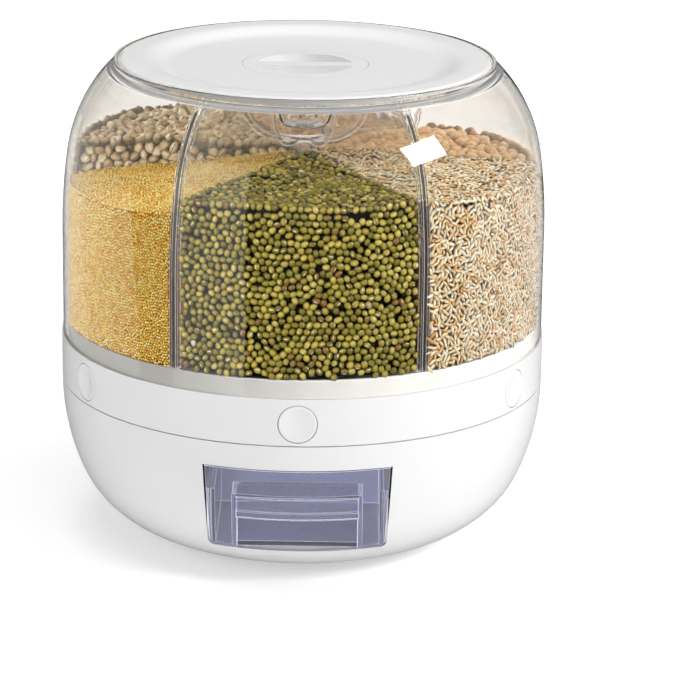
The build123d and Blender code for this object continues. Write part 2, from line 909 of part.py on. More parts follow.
def lid_shell():
    rise = overall_height - lid_floor_top
    lid_dish_start = lid_radius - lid_rim_width
    lid_dish_end = lid_dish_start - lid_dish_slope
    run = lid_dish_slope / 2
    sweep_radius = (run**2 + (rise / 2) ** 2) / rise
    sweep_angle = degrees(asin(run / sweep_radius))
    dish_low = CenterArc(
        (lid_dish_end, lid_floor_top + sweep_radius), sweep_radius, -90, sweep_angle
    )
    dish_high = CenterArc(
        (lid_dish_start, overall_height - sweep_radius), sweep_radius, 90, sweep_angle
    )
    edge = lid_radius - lid_edge_round
    edge_arc = CenterArc((edge, overall_height - lid_edge_round), lid_edge_round, 0, 90)
    plug_inner = lid_plug_radius - lid_wall
    plug_bottom = lid_rim_bottom - lid_plug_depth
    hole = grip_radius + grip_gap
    shelf = hole - grip_shelf
    shelf_top = lid_floor_top - grip_flange
    return turned(
        Line((hole, lid_floor_top), (lid_dish_end, lid_floor_top)),
        dish_low,
        dish_high,
        Line((lid_dish_start, overall_height), (edge, overall_height)),
        edge_arc,
        Line((lid_radius, overall_height - lid_edge_round), (lid_radius, lid_rim_bottom)),
        Line((lid_radius, lid_rim_bottom), (lid_plug_radius, lid_rim_bottom)),
        Line((lid_plug_radius, lid_rim_bottom), (lid_plug_radius, plug_bottom)),
        Line((lid_plug_radius, plug_bottom), (plug_inner, plug_bottom)),
        Line((plug_inner, plug_bottom), (plug_inner, overall_height - lid_wall)),
        Line((plug_inner, overall_height - lid_wall), (lid_dish_start, overall_height - lid_wall)),
        Line((lid_dish_start, overall_height - lid_wall), (lid_dish_end, lid_floor_top - lid_wall)),
        Line((lid_dish_end, lid_floor_top - lid_wall), (shelf, lid_floor_top - lid_wall)),
        Line((shelf, lid_floor_top - lid_wall), (shelf, shelf_top)),
        Line((shelf, shelf_top), (hole, shelf_top)),
        Line((hole, shelf_top), (hole, lid_floor_top)),
    )


def lid_seal():
    return tube(lid_plug_radius + fit_gap, lid_radius - lid_seal_inset, lid_seat, lid_rim_bottom)


def lid_grip():
    well_low = lid_floor_top - grip_well_depth
    grip = disc(grip_radius, lid_floor_top - grip_flange, lid_floor_top)
    grip += disc(grip_well_radius + grip_wall, well_low - grip_wall, lid_floor_top)
    well = disc(grip_well_radius, well_low, lid_floor_top + past)
    bar = block(
        -grip_radius,
        grip_radius,
        -grip_bar_half_width,
        grip_bar_half_width,
        well_low - past,
        lid_floor_top + 2 * past,
    )
    return grip - (well - bar)


# Drawer


def drawer_tray():
    panel = drawer_prism(drawer_side_gap, drawer_end_gap, cover_radius, bowl_radius + past)
    panel = panel & (bowl_body(0) - bowl_body(drawer_panel))
    half = drawer_half_width
    body = block(-half, half, -bowl_radius, -drawer_back, drawer_bottom, drawer_wall_top)
    inner = bowl_body(drawer_panel)
    tray = panel + (body & bowl_body(drawer_panel / 2))
    side = half - drawer_wall
    pocket_side = pocket_half_width + drawer_wall
    wall_inner = pocket_wall_reach - drawer_wall
    floor_z = drawer_bottom + drawer_wall
    tray -= block(-side, side, -wall_inner, -drawer_back - drawer_wall, floor_z, bowl_top)
    for low, high in ((-side, -pocket_side), (pocket_side, side)):
        tray -= block(low, high, -bowl_radius, -wall_inner + join, floor_z, bowl_top) & inner
    above = block(-side, side, -bowl_radius, -wall_inner + join, pocket_top + drawer_wall, bowl_top)
    tray -= above & inner
    pocket = block(
        -pocket_half_width, pocket_half_width, -bowl_radius, -pocket_wall_reach, 0, pocket_top
    )
    tray -= pocket & inner
    lip_half = pocket_half_width + join
    lip_top = notch_top + lip_height
    lip = block(-lip_half, lip_half, -bowl_radius, -pocket_wall_reach, notch_top, lip_top)
    tray += lip & (bowl_body(drawer_panel / 2) - bowl_body(drawer_panel + lip_depth))
    notch = block(
        -pocket_half_width, pocket_half_width, -2 * bowl_radius, -pocket_wall_reach, 0, notch_top
    )
    return tray - notch


# Build and write every piece


def make_parts():
    parts = {
        "base_bowl": base_bowl(),
        "base_cover": base_cover(),
        "rubber_feet": rubber_feet(),
        "cover_screws": cover_screws(),
        "drawer_bay": drawer_bay(),
        "bay_screws": bay_screws(),
        "base_deck": base_deck(),
        "deck_screws": deck_screws(),
        "outlet_chute": outlet_chute(),
        "chute_screws": chute_screws(),
        "ball_cage": ball_cage(),
        "bearing_balls": bearing_balls(),
        "turntable_plate": turntable_plate(),
        "pivot_washer": pivot_washer(),
        "pivot_screw": pivot_screw(),
        "hopper_floor": hopper_floor(),
        "floor_screws": floor_screws(),
        "button_ring": button_ring(),
        "ring_screws": ring_screws(),
        "barrel_seal": barrel_seal(),
        "barrel_shell": barrel_shell(),
        "divider_star": divider_star(),
        "lid_shell": lid_shell(),
        "lid_seal": lid_seal(),
        "lid_grip": lid_grip(),
        "drawer_tray": drawer_tray(),
    }
    front = {"gate": gate(), "button": button(), "button_spring": button_spring()}
    for name, shape in front.items():
        for position in range(compartments):
            parts[f"{name}_{position + 1}"] = around(shape, position)
    return parts


os.makedirs("parts", exist_ok=True)
for node, shape in make_parts().items():
    export_step(shape, f"parts/{node}.step")
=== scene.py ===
import math

import bmesh
import bpy
import numpy as np
from mathutils import Matrix, Vector, noise
from mathutils.kdtree import KDTree


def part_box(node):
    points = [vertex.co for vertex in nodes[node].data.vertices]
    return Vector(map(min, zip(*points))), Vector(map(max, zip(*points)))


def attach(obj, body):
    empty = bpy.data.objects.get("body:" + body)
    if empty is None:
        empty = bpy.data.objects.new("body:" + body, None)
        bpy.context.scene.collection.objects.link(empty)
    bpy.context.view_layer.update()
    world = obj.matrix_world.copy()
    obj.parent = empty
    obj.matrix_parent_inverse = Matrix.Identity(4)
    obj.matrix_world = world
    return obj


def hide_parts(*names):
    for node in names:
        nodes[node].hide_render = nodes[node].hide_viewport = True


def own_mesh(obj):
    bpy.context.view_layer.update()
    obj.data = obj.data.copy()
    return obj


# A rotating dry food dispenser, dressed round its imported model. Metres, +Z up, front at -Y.

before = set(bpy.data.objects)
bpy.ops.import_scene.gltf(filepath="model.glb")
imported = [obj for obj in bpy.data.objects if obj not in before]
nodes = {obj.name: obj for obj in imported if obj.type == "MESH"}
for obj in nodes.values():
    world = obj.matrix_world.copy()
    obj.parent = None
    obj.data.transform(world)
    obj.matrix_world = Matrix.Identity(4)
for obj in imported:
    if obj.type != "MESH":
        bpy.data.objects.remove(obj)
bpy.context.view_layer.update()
MM = 0.001

# Camera, as fitted to the photograph
PICTURE_SIDE = 700
FOCAL_PIXELS = 3266.03
SENSOR_WIDTH = 36.0
CAMERA_DISTANCE = 2.0493
CAMERA_TARGET = Vector((0.029908, 0.0, 0.11065))
CAMERA_ELEVATION = math.radians(17.237)
CAMERA_ROLL = math.radians(0.861)

# The studio: white surroundings, dim in reflections, brighter behind and darker below the floor's level
WORLD_LIGHT = 0.3
WORLD_GLOSS = 0.12
WORLD_BELOW = 0.1
WORLD_BEHIND = 0.8
FLOOR_REACH = 30.0
FLOOR_SPLIT = -0.16
GLOW_NEAR = 0.22
GLOW_FAR = 0.6
GLOW_START = 0.3
GLOW_END = 1.2
LIT_PLACE = Vector((0, 0, 0.2))

# The dispenser's own sizes, read from the frame where a node shows them
COMPARTMENTS = 6
STEP_ANGLE = 2 * math.pi / COMPARTMENTS
floor_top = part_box("hopper_floor")[1].z
barrel_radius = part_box("barrel_shell")[1].x
vane_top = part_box("divider_star")[1].z
VANE_HALF = 1.1 * MM
RIB_HALF = 2.6 * MM
RIB_DEPTH = 4.0 * MM
POST_RADIUS = 6.25 * MM

# Where clear plastic gets a painted glow, an emission along its edges: its edges, told by how far a
# rounded normal leaves the plain one
EDGE_ROUND = 0.5 * MM
EDGE_TURNED = 0.86
EDGE_PLAIN = 0.995

# How the grain is packed: lengths as shares of its spacing, the pushing apart, and how far sizes vary
SHAKE = 0.3
GAP_PITCH = 0.45
HEAP_ROUGHNESS = 0.35
CLOSEST = 0.77
ROUNDS = 10
PUSH = 0.35
VARY = 0.06

# The form of the heap, with the waves of its swell in radians for a metre outward or a radian round
HEAP_CURVE = 1.4
SWELL = 1.6 * MM
SWELLS_OUTWARD = 61
SWELLS_ROUND = 7
TOP_STRETCH = 1.15
# TOP_ROW_LEAN tilts the top row's facing upward, turning those grains and their painted shade towards the
# top
TOP_ROW_LEAN = 0.6
LEVEL_ROUNDS = 6
SHOWN_BELOW_TOP = 6 * MM
VANES_SHOWN_FROM = floor_top + 79 * MM

# The layer under the outer grains and the core, with depths in a grain's half thickness
UNDER_SPREAD = 1.15
UNDER_CLOSEST = 0.75
UNDER_DEPTH = 2.5
UNDER_TILT = 0.6
CORE_DEPTH = 1.5
CORE_DEPTH_UNDER_TWO = 3.1
CORE_ROWS = 22
CORE_COLUMNS = 15

# Offsets on a corner's outward facing (-1 to 1, which sets its painted shade) that tell its shader the
# lower layer and the core, both painted darker as shade
LAYER_FACING = -2.0
CORE_FACING = -4.0

# The button springs
SPRING_WIRE = 0.35 * MM
SPRING_COIL = 3.2 * MM
SPRING_TURNS = 7
SPRING_PLAY = 0.3 * MM


# Small helpers


def linear(red, green, blue):
    """A colour given as 0 to 255 on screen, as Blender's linear numbers."""
    shares = [value / 255 for value in (red, green, blue)]
    return tuple(v / 12.92 if v <= 0.04045 else ((v + 0.055) / 1.055) ** 2.4 for v in shares) + (1.0,)


def outward(angle):
    """The level direction at an angle from the front, turning towards the user's right."""
    return Vector((math.sin(angle), -math.cos(angle), 0))


# Camera and light


def add_camera():
    camera = bpy.data.objects.new("camera", bpy.data.cameras.new("camera"))
    bpy.context.scene.collection.objects.link(camera)
    camera.data.sensor_width = SENSOR_WIDTH
    camera.data.lens = FOCAL_PIXELS * SENSOR_WIDTH / PICTURE_SIDE
    camera.data.clip_start = 0.05
    camera.data.clip_end = 60
    back = Vector((0, -math.cos(CAMERA_ELEVATION), math.sin(CAMERA_ELEVATION)))
    right = Vector((1, 0, 0))
    up = back.cross(right)
    turned_right = math.cos(CAMERA_ROLL) * right + math.sin(CAMERA_ROLL) * up
    turned_up = math.cos(CAMERA_ROLL) * up - math.sin(CAMERA_ROLL) * right
    rotation = Matrix((turned_right, turned_up, back)).transposed().to_4x4()
    camera.matrix_world = Matrix.Translation(CAMERA_TARGET + CAMERA_DISTANCE * back) @ rotation
    bpy.context.scene.camera = camera


def add_softbox(name, place, target, width, height, radiance):
    """A lamp panel of an even radiance, which only its light and reflections show."""
    light = bpy.data.objects.new(name, bpy.data.lights.new(name, "AREA"))
    bpy.context.scene.collection.objects.link(light)
    light.data.shape = "RECTANGLE"
    light.data.size = width
    light.data.size_y = height
    light.data.energy = radiance * math.pi * width * height
    light.location = place
    light.rotation_euler = (Vector(target) - Vector(place)).to_track_quat("-Z", "Y").to_euler()
    light.visible_camera = False
    return light


def add_fill(name, place, target, width, height, radiance):
    """A softbox that lights, but shows in no mirror image."""
    light = add_softbox(name, place, target, width, height, radiance)
    light.visible_glossy = False
    light.visible_transmission = False
    return light


def light_for(light, pieces, state):
    """Keeps a lamp's light to some pieces, or off them."""
    group = bpy.data.collections.new(f"{light.name}_pieces")
    for piece in pieces:
        group.objects.link(piece)
    light.light_linking.receiver_collection = group
    for item in group.collection_objects:
        item.light_linking.link_state = state


def add_world():
    world = bpy.data.worlds.new("studio")
    bpy.context.scene.world = world
    world.use_nodes = True
    tree = world.node_tree

    def graded(source, low, high, from_low=0.0, from_high=1.0):
        node = tree.nodes.new("ShaderNodeMapRange")
        ends = {"From Min": from_low, "From Max": from_high, "To Min": low, "To Max": high}
        for name, value in ends.items():
            node.inputs[name].default_value = value
        tree.links.new(source, node.inputs["Value"])
        return node.outputs["Result"]

    def combined(operation, *sources):
        node = tree.nodes.new("ShaderNodeMath")
        node.operation = operation
        for source, socket in zip(sources, node.inputs):
            tree.links.new(source, socket)
        return node.outputs["Value"]

    direction = tree.nodes.new("ShaderNodeTexCoord")
    parts = tree.nodes.new("ShaderNodeSeparateXYZ")
    tree.links.new(direction.outputs["Generated"], parts.inputs[0])
    path = tree.nodes.new("ShaderNodeLightPath")
    height = graded(parts.outputs["Z"], WORLD_BELOW, 1.0, -0.04, 0.0)
    share = graded(path.outputs["Is Glossy Ray"], WORLD_LIGHT, WORLD_GLOSS)
    behind = graded(parts.outputs["Y"], 0.0, WORLD_BEHIND)
    around = combined("MULTIPLY", height, share)
    strength = combined("MULTIPLY_ADD", behind, path.outputs["Is Transmission Ray"], around)
    tree.links.new(strength, tree.nodes["Background"].inputs["Strength"])
    tree.nodes["Background"].inputs["Color"].default_value = (1, 1, 1, 1)


def add_floor():
    """A pale floor in two sheets; the front one leaves no haze in the clear plastic."""
    material = floor_material()
    side = FLOOR_REACH
    for name, low, high in (("floor_front", -side, FLOOR_SPLIT), ("floor_back", FLOOR_SPLIT, side)):
        mesh = bpy.data.meshes.new(name)
        corners = [(-side, low, 0), (side, low, 0), (side, high, 0), (-side, high, 0)]
        mesh.from_pydata(corners, [], [(0, 1, 2, 3)])
        floor = bpy.data.objects.new(name, mesh)
        bpy.context.scene.collection.objects.link(floor)
        floor.data.materials.append(material)
        floor.visible_glossy = False
        floor.visible_transmission = name == "floor_back"


# Materials


class Nodes:
    """A material's node tree, with short calls for the nodes used here."""

    def __init__(self, name):
        self.material = bpy.data.materials.new(name)
        self.material.use_nodes = True
        self.tree = self.material.node_tree
        self.shader = self.tree.nodes["Principled BSDF"]

    def add(self, kind, **settings):
        node = self.tree.nodes.new(kind)
        for key, value in settings.items():
            setattr(node, key, value)
        return node

    def link(self, source, target):
        self.tree.links.new(source, target)

    def coordinates(self):
        return self.add("ShaderNodeTexCoord").outputs["Object"]

    def noise(self, scale, detail=2, vector=None):
        node = self.add("ShaderNodeTexNoise")
        node.inputs["Scale"].default_value = scale
        node.inputs["Detail"].default_value = detail
        self.link(vector or self.coordinates(), node.inputs["Vector"])
        return node.outputs["Fac"]

    def ramp(self, source, *stops):
        """A colour ramp from pairs of place and colour."""
        node = self.add("ShaderNodeValToRGB")
        elements = node.color_ramp.elements
        while len(elements) < len(stops):
            elements.new(0.5)
        for element, (place, colour) in zip(elements, stops):
            element.position = place
            element.color = colour
        self.link(source, node.inputs["Fac"])
        return node.outputs["Color"]

    def range(self, source, low, high, from_low=0.3, from_high=0.7):
        node = self.add("ShaderNodeMapRange")
        node.inputs["From Min"].default_value = from_low
        node.inputs["From Max"].default_value = from_high
        node.inputs["To Min"].default_value = low
        node.inputs["To Max"].default_value = high
        self.link(source, node.inputs["Value"])
        return node.outputs["Result"]

    def math(self, operation, first, second):
        node = self.add("ShaderNodeMath", operation=operation)
        for socket, value in zip(node.inputs, (first, second)):
            if isinstance(value, (int, float)):
                socket.default_value = value
            else:
                self.link(value, socket)
        return node.outputs["Value"]

    def mix(self, factor, first, second, blend="MIX"):
        node = self.add("ShaderNodeMix", data_type="RGBA", blend_type=blend)
        sockets = [s for s in node.inputs if s.enabled]
        for socket, value in zip(sockets, (factor, first, second)):
            if isinstance(value, (tuple, float, int)):
                socket.default_value = value
            else:
                self.link(value, socket)
        return [s for s in node.outputs if s.enabled][0]

    def bump(self, height, distance):
        node = self.add("ShaderNodeBump")
        node.inputs["Distance"].default_value = distance
        self.link(height, node.inputs["Height"])
        self.link(node.outputs["Normal"], self.shader.inputs["Normal"])

    def set(self, **values):
        for key, value in values.items():
            self.shader.inputs[key.replace("_", " ")].default_value = value

    def feed(self, name, source):
        self.link(source, self.shader.inputs[name])

    def attribute(self, name, output="Fac"):
        return self.add("ShaderNodeAttribute", attribute_name=name).outputs[output]


def floor_material():
    m = Nodes("floor_paper")
    m.feed("Base Color", m.ramp(m.noise(3), (0.3, (0.9, 0.9, 0.9, 1)), (0.7, (0.92, 0.92, 0.92, 1))))
    m.set(Roughness=0.9, Emission_Color=(1, 1, 1, 1))
    far = m.add("ShaderNodeVectorMath", operation="LENGTH")
    m.link(m.coordinates(), far.inputs[0])
    m.feed("Emission Strength", m.range(far.outputs["Value"], GLOW_NEAR, GLOW_FAR, GLOW_START, GLOW_END))
    return m.material


def moulded_plastic(name, colour, rough, grain=0.000002):
    """A moulded plastic: faint mottling, a low surface ripple and slightly uneven gloss."""
    m = Nodes(name)
    darker = tuple(c * 0.99 for c in colour[:3]) + (1,)
    m.feed("Base Color", m.ramp(m.noise(9, 2), (0.3, darker), (0.7, colour)))
    m.feed("Roughness", m.range(m.noise(12, 1), rough * 0.97, rough * 1.04))
    m.bump(m.noise(120, 1), grain)
    return m.material


def clear_material(name, colour, passes, rough=0.0, wave=0.00006, milk=0.0, edge_glow=0.0, glow_band=None):
    """Clear plastic that lets lamps through, with the slow waves of moulding, a painted glow in its edges
    and, where given, a painted glowing band.
    """
    m = Nodes(name)
    m.set(Base_Color=colour, Roughness=rough, IOR=1.49, Transmission_Weight=1 - milk)
    m.bump(m.noise(22, 1), wave)
    rounded = m.add("ShaderNodeBevel", samples=4)
    rounded.inputs["Radius"].default_value = EDGE_ROUND
    likeness = m.add("ShaderNodeVectorMath", operation="DOT_PRODUCT")
    m.link(rounded.outputs["Normal"], likeness.inputs[0])
    m.link(m.add("ShaderNodeNewGeometry").outputs["Normal"], likeness.inputs[1])
    # Painted highlight: edges emit light in proportion to edge_glow, though the plastic is no lamp
    glow = m.range(likeness.outputs["Value"], edge_glow, 0.0, EDGE_TURNED, EDGE_PLAIN)
    # Painted highlight: a range of heights emits light as a band
    if glow_band is not None:
        height = m.add("ShaderNodeSeparateXYZ")
        m.link(m.coordinates(), height.inputs[0])
        low, high, band_glow = glow_band
        rise = m.range(height.outputs["Z"], 0.0, band_glow, low, low + MM)
        fade = m.range(height.outputs["Z"], 1.0, 0.0, high, high + MM)
        glow = m.math("ADD", glow, m.math("MULTIPLY", rise, fade))
    m.set(Emission_Color=(1, 1, 1, 1))
    m.feed("Emission Strength", glow)
    path = m.add("ShaderNodeLightPath")
    open_shader = m.add("ShaderNodeBsdfTransparent")
    open_shader.inputs["Color"].default_value = passes
    mixed = m.add("ShaderNodeMixShader")
    m.link(path.outputs["Is Shadow Ray"], mixed.inputs["Fac"])
    m.link(m.shader.outputs["BSDF"], mixed.inputs[1])
    m.link(open_shader.outputs["BSDF"], mixed.inputs[2])
    m.link(mixed.outputs["Shader"], m.tree.nodes["Material Output"].inputs["Surface"])
    return m.material


def steel_material():
    m = Nodes("zinc_steel")
    stretched = m.add("ShaderNodeMapping")
    stretched.inputs["Scale"].default_value = (1, 1, 12)
    m.link(m.coordinates(), stretched.inputs["Vector"])
    streaks = m.noise(500, 3, stretched.outputs["Vector"])
    m.feed("Base Color", m.ramp(streaks, (0.3, (0.5, 0.5, 0.51, 1)), (0.7, (0.66, 0.66, 0.67, 1))))
    m.feed("Roughness", m.range(streaks, 0.25, 0.42))
    m.bump(streaks, 0.00001)
    m.set(Metallic=1.0)
    return m.material


def rubber_material():
    m = Nodes("soft_rubber")
    shades = (0.3, (0.075, 0.075, 0.08, 1)), (0.7, (0.11, 0.11, 0.115, 1))
    m.feed("Base Color", m.ramp(m.noise(90, 3), *shades))
    m.feed("Roughness", m.range(m.noise(200, 3), 0.7, 0.85))
    m.bump(m.noise(1800, 3), 0.00005)
    return m.material


def silicone_material():
    m = Nodes("silicone")
    m.feed("Base Color", m.ramp(m.noise(60, 3), (0.3, (0.72, 0.72, 0.71, 1)), (0.7, (0.8, 0.8, 0.79, 1))))
    m.feed("Roughness", m.range(m.noise(150, 3), 0.4, 0.55))
    m.bump(m.noise(1200, 2), 0.00002)
    m.set(Subsurface_Weight=0.3, Subsurface_Scale=0.003)
    return m.material


def dress(material, *names):
    """Gives CAD nodes a material."""
    for name in names:
        data = nodes[name].data
        data.materials.clear()
        data.materials.append(material)


def numbered(name):
    return [f"{name}_{k + 1}" for k in range(COMPARTMENTS)]


# Grain in the compartments


class Compartment:
    """One compartment's inside, with the level of what it holds."""

    def __init__(self, position, levels, seed):
        self.middle = position * STEP_ANGLE
        self.left, self.right, self.centre = levels
        self.heights = np.arange(floor_top, vane_top, MM)
        self.reaches = np.array([self.wall_at(z) for z in self.heights])
        self.seed = seed

    def wall_at(self, z):
        """The reach of the barrel's inner face at a height, found on the middle line."""
        place = nodes["barrel_shell"].ray_cast(Vector((0, 0, z)), outward(self.middle))[1]
        return math.hypot(place.x, place.y)

    def wall(self, z):
        return np.interp(z, self.heights, self.reaches)

    def surface(self, reach, turn):
        """The height of the contents at a reach and a turn from the middle."""
        side = turn / (STEP_ANGLE / 2)
        at_wall = (self.left + self.right) / 2 + side * (self.right - self.left) / 2
        share = np.clip(reach / barrel_radius, 0, 1)
        swell = np.sin(reach * SWELLS_OUTWARD + self.seed) * np.sin(turn * SWELLS_ROUND + self.seed * 2)
        return self.centre + (at_wall - self.centre) * share**HEAP_CURVE + swell * SWELL

    def place(self, reach, turn, z):
        angle = self.middle + turn
        return np.stack([reach * np.sin(angle), -reach * np.cos(angle), z + 0 * reach], -1)

    def clearances(self, points):
        """How far each point is from the wall, the two dividers, the post and the surface."""
        x, y, z = points.T
        reach = np.hypot(x, y)
        turn = (np.arctan2(x, -y) - self.middle + math.pi) % (2 * math.pi) - math.pi
        half = STEP_ANGLE / 2
        wall = self.wall(z) - reach
        near_rib = np.where(wall < RIB_DEPTH + 2 * MM, RIB_HALF, VANE_HALF + 0.2 * MM)
        sides = reach * np.sin(half - np.abs(turn)) - near_rib
        return np.stack([wall, sides, reach - POST_RADIUS, self.surface(reach, turn) - z])


def packed(low, high, spacing, rng, rounds):
    """Points in a flat box about a spacing apart: a shaken triangular grid, pushed even in rounds."""
    row = spacing * math.sqrt(3) / 2
    across = np.arange(low[0], high[0], spacing)
    up = np.arange(low[1], high[1], row)
    points = np.array([(x + spacing / 2 * (j % 2), y) for j, y in enumerate(up) for x in across])
    points += rng.normal(0, SHAKE * spacing, points.shape)
    for _ in range(rounds):
        tree = KDTree(len(points))
        for index, (x, y) in enumerate(points):
            tree.insert((x, y, 0), index)
        tree.balance()
        moves = np.zeros_like(points)
        for index, (x, y) in enumerate(points):
            for place, other, gap in tree.find_range((x, y, 0), spacing):
                if other > index and gap > 0:
                    push = points[index] - points[other]
                    push *= (spacing - gap) / gap * PUSH
                    moves[index] += push
                    moves[other] -= push
        points += moves
    return points


def spaced(points, spacing, kept):
    """Which points stay a spacing apart from those before them and those kept already."""
    cells = {}
    chosen = []
    near = (-1, 0, 1)
    steps = [(i, j, k) for i in near for j in near for k in near]

    def cell_of(point):
        return tuple(int(math.floor(v / spacing)) for v in point)

    def crowded(point):
        x, y, z = cell_of(point)
        others = (other for i, j, k in steps for other in cells.get((x + i, y + j, z + k), ()))
        return any(math.dist(point, other) < spacing for other in others)

    for point in kept:
        cells.setdefault(cell_of(point), []).append(point)
    for index, point in enumerate(points.tolist()):
        if not crowded(point):
            cells.setdefault(cell_of(point), []).append(point)
            chosen.append(index)
    return chosen


def wall_patch(room, rng, depth, spacing, pitch, rounds, top):
    """Places along the barrel's wall, hung from the surface, with the directions that they face."""
    half = barrel_radius * STEP_ANGLE / 2
    flat = packed((-half, 0), (half, top - floor_top), pitch, rng, rounds)
    turn = flat[:, 0] / barrel_radius
    down = np.maximum(flat[:, 1], 0)
    upper = (down < spacing / 2) * 1.0
    reach = barrel_radius - depth + 0 * turn
    for _ in range(LEVEL_ROUNDS):
        z = room.surface(reach, turn) - depth - down
        reach = room.wall(z) - depth
    angle = room.middle + turn
    normal = np.stack([np.sin(angle), -np.cos(angle), TOP_ROW_LEAN * upper], -1)
    return room.place(reach, turn, z), normal


def vane_patch(room, rng, depth, spacing, pitch, rounds, high, side):
    """Places along one divider, hung from the surface, with the directions that they face."""
    flat = packed((POST_RADIUS, 0), (barrel_radius, high), pitch, rng, rounds)
    reach = flat[:, 0]
    down = np.maximum(flat[:, 1], 0)
    upper = (down < spacing / 2) * 1.0
    inset = np.clip((depth + VANE_HALF + 0.25 * MM) / reach, 0, 1)
    turn = side * (STEP_ANGLE / 2 - np.arcsin(inset))
    angle = room.middle + side * STEP_ANGLE / 2
    across = side * (1 - upper)
    normal = np.stack([across * math.cos(angle), across * math.sin(angle), upper], -1)
    return room.place(reach, turn, room.surface(reach, turn) - depth - down), normal


def top_patch(room, rng, depth, spacing, pitch, rounds):
    """Places over the surface, some sunk a little, facing up."""
    low = (-barrel_radius / 2, 0)
    high = (barrel_radius / 2, barrel_radius / TOP_STRETCH)
    flat = packed(low, high, pitch, rng, rounds)
    flat[:, 1] *= TOP_STRETCH
    reach, turn = np.hypot(*flat.T), np.arctan2(flat[:, 0], flat[:, 1])
    sunk = HEAP_ROUGHNESS * spacing * rng.random(len(reach))
    z = room.surface(reach, turn) - depth - sunk
    return room.place(reach, turn, z), np.tile([0, 0, 1.0], (len(z), 1))


def grain_places(room, rng, depth, spacing, side_low, closest, kept=()):
    """Places and outward directions for one layer of grain, a depth under wall, dividers and surface."""
    top = max(room.left, room.right, room.centre) + 4 * MM
    patches = []
    for pitch, rounds in ((spacing, ROUNDS), (spacing * GAP_PITCH, 0)):
        patches.append(wall_patch(room, rng, depth, spacing, pitch, rounds, top))
        for side in (-1, 1):
            patches.append(vane_patch(room, rng, depth, spacing, pitch, rounds, top - side_low, side))
        patches.append(top_patch(room, rng, depth, spacing, pitch, rounds))
    points = np.concatenate([p for p, n in patches])
    normals = np.concatenate([n for p, n in patches])
    normals /= np.linalg.norm(normals, axis=1, keepdims=True)
    clear = (room.clearances(points) > depth - 0.1 * MM).all(0)
    clear &= points[:, 2] > floor_top + 0.8 * depth
    points, normals = points[clear], normals[clear]
    chosen = spaced(points, spacing * closest, kept)
    return points[chosen], normals[chosen]


def ball_mesh(detail):
    mesh = bmesh.new()
    bmesh.ops.create_icosphere(mesh, subdivisions=detail, radius=1.0)
    verts = np.array([v.co[:] for v in mesh.verts])
    faces = np.array([[v.index for v in f.verts] for f in mesh.faces])
    mesh.free()
    return verts, faces


def turned_frames(normals, rng, tilt, roll):
    """A turn for each grain: its long axis lies across the normal, its third axis rolls away from it."""
    count = len(normals)
    n = normals + rng.normal(0, tilt, (count, 3))
    n /= np.linalg.norm(n, axis=1, keepdims=True)
    t = np.cross(n, rng.normal(0, 1, (count, 3)))
    t /= np.linalg.norm(t, axis=1, keepdims=True)
    b = np.cross(n, t)
    angle = rng.normal(0, roll, (count, 1))
    rolled = n * np.cos(angle) + b * np.sin(angle)
    return np.stack([t, np.cross(rolled, t), rolled], -1)


def many_grains(shape, points, normals, size, rng, tilt, roll, layer):
    """All the grains' corners, faces, tones, own coordinates and outward facings, which set their painted
    shade, as arrays.
    """
    verts, faces, own = shape
    count = len(points)
    frames = turned_frames(normals, rng, tilt, roll)
    scale = np.array(size) * rng.normal(1, VARY, (count, 1, 3)).clip(1 - 2 * VARY, 1 + 2 * VARY)
    local = verts[None] * scale
    placed = np.einsum("nij,nvj->nvi", frames, local) + points[:, None]
    shift = (np.arange(count) * len(verts))[:, None, None]
    tones = np.repeat(rng.uniform(0, 1, count), len(verts))
    # How far each corner faces along its patch's outward direction; the shader turns this into painted
    # shade
    shade_facing = np.einsum("nij,vj,ni->nv", frames, own, normals)
    return (
        placed.reshape(-1, 3),
        (faces[None] + shift).reshape(-1, 3),
        tones,
        np.tile(own, (count, 1)),
        shade_facing.ravel() + LAYER_FACING * layer,
    )


def core_mesh(room, inset):
    """A closed body just inside the grains, from profiles swept across the compartment."""
    half = STEP_ANGLE / 2
    rows, columns = CORE_ROWS, CORE_COLUMNS
    inner = POST_RADIUS + inset + 6 * MM
    low = floor_top + 0.3 * MM

    def turned(side, reach):
        return side * (half - math.asin(min(1.0, (inset + RIB_HALF) / reach)))

    verts = []
    for column in range(columns):
        side = 2 * column / (columns - 1) - 1
        outline = []
        for row in range(rows):
            reach = inner + (barrel_radius - inner) * row / (rows - 1)
            top = float(room.surface(reach, turned(side, reach))) - inset
            wall = float(room.wall(top)) - inset
            outline.append((min(reach, wall), top))
        top = outline[-1][1]
        for row in range(1, rows):
            z = top + (low - top) * row / (rows - 1)
            outline.append((float(room.wall(z)) - inset, z))
        outline.append((inner, low))
        for reach, z in outline:
            verts.append(room.place(np.float64(reach), turned(side, reach), z))
    length = len(verts) // columns
    faces = []
    for column in range(columns - 1):
        for row in range(length):
            a = column * length + row
            b = column * length + (row + 1) % length
            faces.append((a, b, b + length))
            faces.append((a, b + length, a + length))
    first = list(range(length))
    last = [v + (columns - 1) * length for v in first]
    for cap, flip in ((first, True), (last, False)):
        for i in range(1, length - 1):
            corner = (cap[0], cap[i], cap[i + 1])
            faces.append(corner[::-1] if flip else corner)
    return np.array(verts), np.array(faces)


